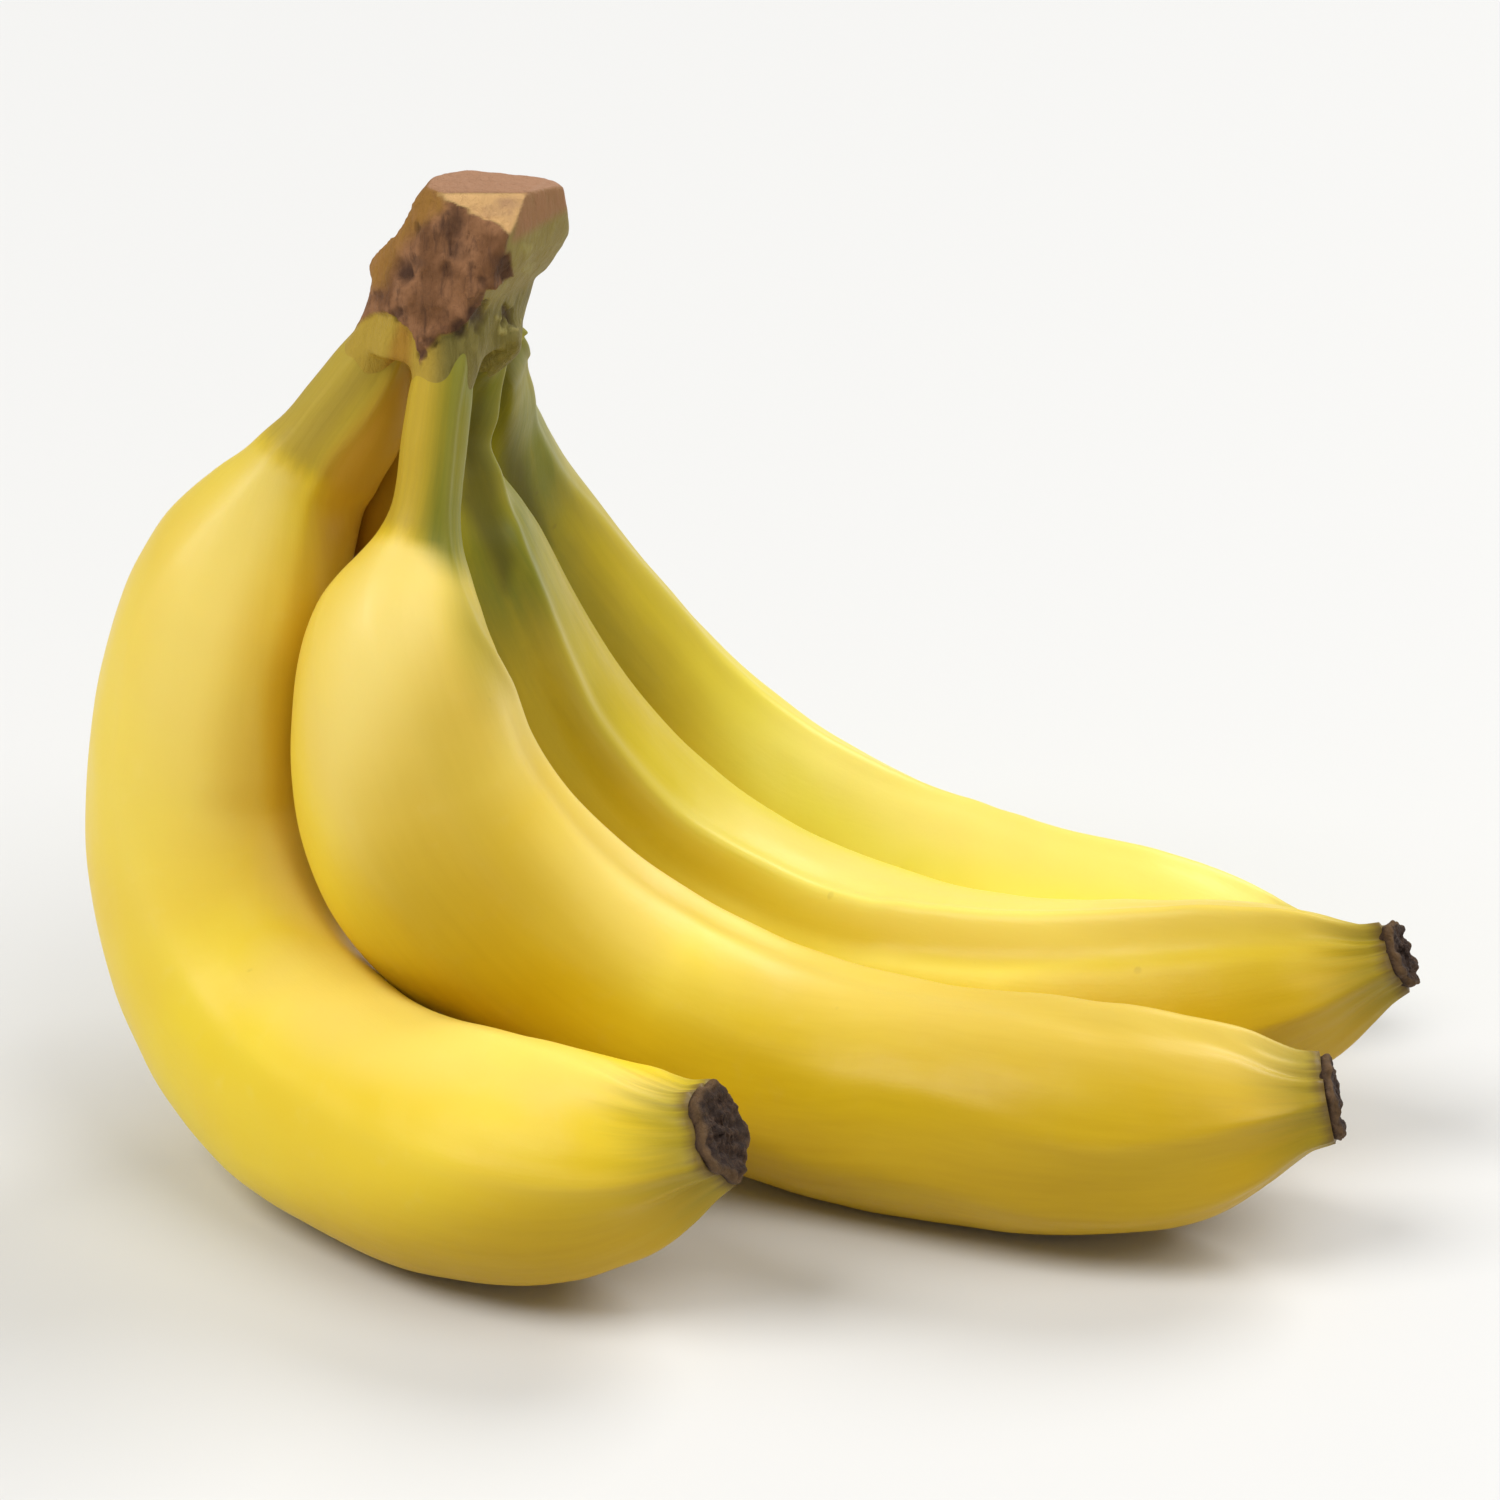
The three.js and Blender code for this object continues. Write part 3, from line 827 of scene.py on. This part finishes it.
def make_blossom_end(name, settings, material):
    """A shrivelled plug of five blunt lobes with a frayed rim and a hollow face."""
    angles = full_turn(BLOSSOM_SIDES)
    corners = len(BLOSSOM_PROFILE)
    fine = np.linspace(0, corners - 1, 3 * corners)
    past, share = (np.interp(fine, range(corners), column) for column in zip(*BLOSSOM_PROFILE))
    at_end = np.full(1, LINES[name].length)
    middles, radii, forward, inner, side = LINES[name].at(at_end)
    _, along_face, _ = ridge_field(angles, ridge_angles(name, at_end))
    lobes = 0.07 * np.cos(along_face * 2 * math.pi) + 0.03 * np.cos(angles * 9 + float(name))
    radius = radii[0] * share[:, None] * (1 + lobes * smoothstep(0.2, 0.9, share)[:, None])
    on_ring = np.stack((np.cos(angles), np.sin(angles), angles * 0), -1)
    fray = 0.3 * MM * waves(on_ring, 0.5, seed=21 + int(name))
    lift = past[:, None] * MM + fray * smoothstep(0.6, 1.8, past)[:, None]
    points = middles[0] + outward(angles, inner, side)[0][None] * radius[..., None] + forward[0] * lift[..., None]
    end = tube(f"dried_end_{name}", points)
    where, normals = corners_of(end.data, "co"), corners_of(end.data, "normal")
    depth = settings.wrinkle * (0.5 * waves(where, 2.6 * MM, seed=31) + 0.35 * waves(where, 1.2 * MM, seed=32))
    open_part = np.concatenate((np.repeat(smoothstep(0.2, 1.2, past), BLOSSOM_SIDES), [0, 1]))
    where = where + normals * (depth * open_part)[:, None]
    where[:, 2] = np.maximum(where[:, 2], ABOVE_TABLE)
    put_points(end.data, where)
    rim = hump(share - 1.0, 0.1) * smoothstep(-0.5, 2.0, past)
    put_mask(end.data, "rim", np.concatenate((np.repeat(rim, BLOSSOM_SIDES), [0, 0])))
    dress(end, material, "dried_blossom_end", f"blossom_end_{name}")


class BANANAS_OT_blossom_ends(bpy.types.Operator):
    """Makes the dried blossom end of each fruit"""
    bl_idname = "bananas.blossom_ends"
    bl_label = "Blossom ends"

    def execute(self, context):
        settings = context.scene.bananas_blossom
        material = blossom_material(settings)
        for name in RIDGES:
            make_blossom_end(name, settings, material)
        return {"FINISHED"}


# Crown
# Outlines in the photo, in its pixels: the torn brown skin, its yellowed edge, the pinkish veil on the right and the
# painted shade on the skin between the two left stalks
TORN = [(395, 120), (620, 120), (545, 180), (527, 193), (511, 229), (512, 275), (500, 284), (485, 289), (479, 311),
        (457, 331), (441, 335), (427, 351), (421, 364), (417, 343), (412, 329), (399, 318), (391, 313), (376, 313),
        (352, 328), (340, 300), (330, 240)]
OCHRE = [(444, 178), (400, 200), (375, 236), (352, 262), (352, 292), (388, 288), (400, 262), (416, 238), (446, 208)]
BLUSH = [(520, 170), (575, 170), (575, 203), (545, 222), (514, 240)]
GAP = [(400, 322), (411, 330), (410, 360), (404, 410), (384, 410), (384, 376), (392, 344)]
# Marks on the crown in the photo: x, y, reach, strength. The dark marks are pits, and painted shadow under the edge
# of the torn flap and in the pocket between the stalks. Above the height of the low marks, dark marks show only on
# torn skin.
LOW_MARKS = 300
PIT_AND_SHADOW_MARKS = [(407, 272, 12, 1.0), (420, 262, 8, 0.5), (455, 226, 17, 0.7), (458, 248, 14, 0.65), (450, 270, 8, 0.4),
              (422, 228, 8, 0.55), (380, 297, 7, 0.45), (400, 313, 8, 0.8), (476, 313, 15, 1.0), (461, 327, 13, 1.0),
              (482, 296, 9, 0.8), (485, 281, 8, 0.7), (504, 266, 16, 1.0), (512, 248, 9, 0.9), (513, 234, 6, 0.8),
              (508, 278, 9, 0.9), (507, 315, 7, 0.9), (430, 342, 7, 0.6), (422, 354, 6, 0.7)]
PALE_MARKS = [(499, 318, 4, 0.8), (503, 330, 5, 1.0), (514, 329, 4, 0.9), (523, 322, 4, 0.8), (531, 312, 4, 0.6),
              (526, 250, 7, 0.6), (524, 232, 5, 0.4), (528, 268, 6, 0.5)]
# The fresh cut in the photo
FRESH = [(428, 186), (533, 186), (528, 200), (517, 226), (509, 233), (501, 229), (492, 220), (477, 217), (462, 206),
         (446, 200)]
# Sides of the collars round the stalks, and how much wider than its stalk each begins
COLLAR_SIDES = 40
COLLAR_GROWTH = {"1": 0.1, "2": 0.2, "3": 0.15, "4": 0.0}
# How far left and right the crown reaches in the photo: height and side, in its pixels
LEFT_SIDE = [(281, 368), (298, 366), (310, 362), (321, 358), (332, 350), (345, 340)]
RIGHT_SIDE = [(283, 537), (294, 533), (307, 528), (321, 524), (340, 523), (356, 525)]
# Heights on the crown in mm: where its relief dies out, where the lift of its top begins and is full, and where its
# low skin ends
TOP_EDGE, TOP_LIFT, LOW_SKIN = (157.5, 160.5), (150, 160.5), (140, 145)
# Places across the crown in mm: where the green skin and the blush begin, and the right end of the gap's painted
# shade
GREEN_BEGINS, BLUSH_BEGINS, GAP_ENDS = (-51.7, -47), (-45, -38), -45
# Flat cuts: a point of the cut in mm, the way it faces and which mask it gets
CUTS = [
    ((-40.6, -6.0, 160.9), (0, 0, 1), "top"),
    ((-41.6, -9.8, 160.9), (0, -0.85, 0.52), "cut"),
    ((-35.0, -9.8, 160.9), (0.71, -0.69, 0.13), "right"),
]


def stalk_collar(name):
    """The crown's grip round a stalk: wider than the stalk at the top and lost in it lower down."""
    top, bottom = -3, 12
    distances = np.linspace(top, bottom, bottom - top + 1)
    middles, radii, _, inner, side = LINES[name].at(distances * MM)
    grow = 1.04 + COLLAR_GROWTH[name] * (1 - smoothstep(top, 8, distances)) - 0.2 * smoothstep(5, bottom, distances)
    around = outward(full_turn(COLLAR_SIDES), inner, side)
    return tube(f"collar_{name}", middles[:, None] + around * (radii * grow)[:, None, None])


def make_crown(settings, material):
    crown = new_object("crown_piece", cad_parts["crown"].data.copy())
    edit(crown, bpy.ops.mesh.remove_doubles, threshold=MERGE)
    collars = [stalk_collar(name) for name in RIDGES]
    use(crown)
    for collar in collars:
        collar.select_set(True)
    bpy.ops.object.join()
    apply_modifier(crown, "REMESH", mode="VOXEL", voxel_size=0.6 * MM)
    apply_modifier(crown, "SMOOTH", factor=0.5, iterations=12)
    for at, away, _ in CUTS:
        edit(crown, bpy.ops.mesh.bisect, plane_co=[c * MM for c in at], plane_no=away, use_fill=True,
             clear_outer=True)
    apply_modifier(crown, "REMESH", mode="VOXEL", voxel_size=settings.voxel)
    apply_modifier(crown, "SMOOTH", factor=0.5, iterations=2)
    carve_crown(crown, settings)
    dress(crown, material, "crown_skin", "crown")


def marks_at(places, marks):
    """How strongly a list of marks shows at each place."""
    share = np.zeros(len(places))
    for x, y, reach, strength in marks:
        gap = np.linalg.norm((places - (x, y)) * (1, 0.8), axis=1)
        share = np.maximum(share, strength * (1 - smoothstep(0.35, 1.0, gap / reach)))
    return share


def kept_within(points):
    """Points that stand out beyond the crown's sides in the photo, brought softly back to them."""
    soft, fading = 9, 14
    for limits, way in ((LEFT_SIDE, -1), (RIGHT_SIDE, 1)):
        places = photo_places(points)
        heights, sides = np.array(limits, dtype=float).T
        beyond = np.maximum((places[:, 0] - np.interp(places[:, 1], heights, sides)) * way + soft, 0)
        excess = beyond - soft * (1 - np.exp(-beyond / soft))
        fade = smoothstep(heights[0] - fading, heights[0], places[:, 1])
        fade *= 1 - smoothstep(heights[-1], heights[-1] + fading, places[:, 1])
        points[:, 0] -= way * excess * fade * CAMERA_DISTANCE * SENSOR / (CAMERA_LENS * PHOTO)
    return points


def carve_crown(crown, settings):
    """Torn skin, pits and cuts, as relief and as masks for the colours, with painted shadow among the dark marks and
    painted shade between the left stalks.
    """
    mesh = crown.data
    points, normals = corners_of(mesh, "co"), corners_of(mesh, "normal")
    cuts = {}
    for at, away, mask in CUTS:
        facing = unit(np.array(away))
        off = np.abs((points - np.array(at) * MM) @ facing)
        cuts[mask] = smoothstep(0.8, 0.95, normals @ facing) * (1 - smoothstep(0.5, 1.0, off / MM))
    top, fresh = cuts["top"], cuts["cut"]
    right = cuts["right"] * (1 - fresh) * (1 - top)

    # Where the points lie in the photo, with a wandering edge out of its sight and a ragged one for small marks
    seen = smoothstep(-0.15, 0.25, normals @ TO_CAMERA)
    true_places = photo_places(points)
    wobble = np.stack((waves(points, 5 * MM, seed=41), waves(points, 5 * MM, seed=42)), -1) * 3.0
    places = true_places + wobble * (1 - seen)[:, None]
    ragged = true_places + np.stack((waves(points, 2.4 * MM, seed=46), waves(points, 2.4 * MM, seed=47)), -1) * 2.6
    fresh = fresh * smoothstep(-2.5, 1.5, inside_distance(ragged, FRESH))
    torn = smoothstep(-1.6, 1.6, inside_distance(places, TORN)) * (1 - fresh) * (1 - right)
    dark, pale = (marks_at(ragged, marks) * seen for marks in (PIT_AND_SHADOW_MARKS, PALE_MARKS))
    dark *= (1 - fresh) * np.where(places[:, 1] < LOW_MARKS, torn, 1)

    # Relief, the lift of the top's left back edge, and the photo's outline
    fibre = waves(points * (1, 1, 0.35), 2.2 * MM, seed=43) * 0.6 + waves(points, 1.1 * MM, seed=44) * 0.4
    lumps = waves(points, 6 * MM, seed=45)
    relief = torn * (settings.flap + 0.35 * MM * lumps + 0.28 * MM * fibre)
    relief -= dark * 0.8 * MM
    relief += (1 - torn) * 0.08 * MM * lumps + pale * 0.25 * MM
    x, z = points[:, 0] / MM, points[:, 2] / MM
    relief *= 1 - 0.8 * np.maximum(fresh, smoothstep(*TOP_EDGE, z))
    points = points + normals * relief[:, None]
    slope = np.clip(-(x + 33) / 10, -0.4, 1.1) * np.clip((points[:, 1] / MM + 9.8) / 6.2, 0, 1.2)
    points[:, 2] += 0.8 * MM * slope * smoothstep(*TOP_LIFT, z)
    put_points(mesh, kept_within(points))
    face_outwards(crown)
    masks = {
        "torn": torn, "dark": np.clip(dark * 0.85, 0, 1), "pale": pale * (1 - torn), "top": top, "cut": fresh,
        "ochre": smoothstep(-6, 8, inside_distance(places, OCHRE)),
        "blush": smoothstep(-7, 5, inside_distance(places, BLUSH)) * smoothstep(*BLUSH_BEGINS, x),
        "warm": smoothstep(-7, 6, inside_distance(places, GAP)) * (1 - torn) * (x < GAP_ENDS),
        "green": smoothstep(*GREEN_BEGINS, x), "low": 1 - smoothstep(*LOW_SKIN, z),
    }
    for name, values in masks.items():
        put_mask(mesh, name, values)


class BANANAS_OT_crown(bpy.types.Operator):
    """Makes the crown with its knife cuts, torn brown skin and the green grip round the stalks"""
    bl_idname = "bananas.crown"
    bl_label = "Crown"

    def execute(self, context):
        settings = context.scene.bananas_crown
        make_crown(settings, crown_material(settings))
        return {"FINISHED"}


# Stage
def add_light(name, toward, strength, softness, colour):
    """A broad far light that shines evenly on the whole table."""
    bpy.ops.object.light_add(type="SUN", location=Vector(toward).normalized() * 2)
    light = bpy.context.object
    light.name = name
    light.rotation_euler = Vector(toward).to_track_quat("Z", "Y").to_euler()
    light.data.energy = strength
    light.data.angle = math.radians(softness)
    light.data.color = colour


class BANANAS_OT_stage(bpy.types.Operator):
    """Makes the pale table, the soft lights and the camera"""
    bl_idname = "bananas.stage"
    bl_label = "Stage"

    def execute(self, context):
        settings = context.scene.bananas_stage
        deselect()
        bpy.ops.mesh.primitive_circle_add(vertices=96, radius=settings.floor_radius, fill_type="NGON")
        floor = context.object
        floor.name = "table"
        floor.data.materials.append(floor_material(settings))
        warm, neutral = (1.0, 0.99, 0.97), (1.0, 1.0, 1.0)
        add_light("left light", (-0.7, -0.3, 0.94), settings.left_light, 34, warm)
        add_light("back light", (0.6, 0.7, 0.84), settings.back_light, 34, neutral)
        add_light("front light", (0.55, -0.35, 0.9), settings.front_light, 40, warm)
        world = bpy.data.worlds.new("soft room")
        world.use_nodes = True
        background = world.node_tree.nodes["Background"]
        background.inputs["Color"].default_value = (1, 1, 1, 1)
        background.inputs["Strength"].default_value = settings.sky
        context.scene.world = world
        context.scene.view_settings.view_transform = "Standard"
        back = Vector(TO_CAMERA)
        bpy.ops.object.camera_add(location=LOOK_AT + back * CAMERA_DISTANCE)
        camera = context.object
        camera.rotation_euler = back.to_track_quat("Z", "Y").to_euler()
        camera.data.sensor_width = SENSOR
        camera.data.lens = CAMERA_LENS
        context.scene.camera = camera
        deselect()
        return {"FINISHED"}


class BANANAS_PT_panel(bpy.types.Panel):
    """The steps that make the bunch"""
    bl_label = "Bananas"
    bl_idname = "BANANAS_PT_panel"
    bl_space_type = "VIEW_3D"
    bl_region_type = "UI"
    bl_category = "Bananas"

    def draw(self, context):
        for operator in STEPS:
            self.layout.operator(operator.bl_idname)


STEPS = (BANANAS_OT_fruits, BANANAS_OT_blossom_ends, BANANAS_OT_crown, BANANAS_OT_stage)
GROUPS = {
    "bananas_fruit": FruitSettings, "bananas_blossom": BlossomSettings, "bananas_crown": CrownSettings,
    "bananas_stage": StageSettings,
}
CLASSES = (*GROUPS.values(), *STEPS, BANANAS_PT_panel)


def register():
    for each in CLASSES:
        bpy.utils.register_class(each)
    for name, group in GROUPS.items():
        setattr(bpy.types.Scene, name, PointerProperty(type=group))


def unregister():
    for name in GROUPS:
        delattr(bpy.types.Scene, name)
    for each in reversed(CLASSES):
        bpy.utils.unregister_class(each)


def main():
    register()
    bpy.ops.bananas.fruits()
    bpy.ops.bananas.blossom_ends()
    bpy.ops.bananas.crown()
    bpy.ops.bananas.stage()
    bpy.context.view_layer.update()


if __name__ == "__main__":
    main()
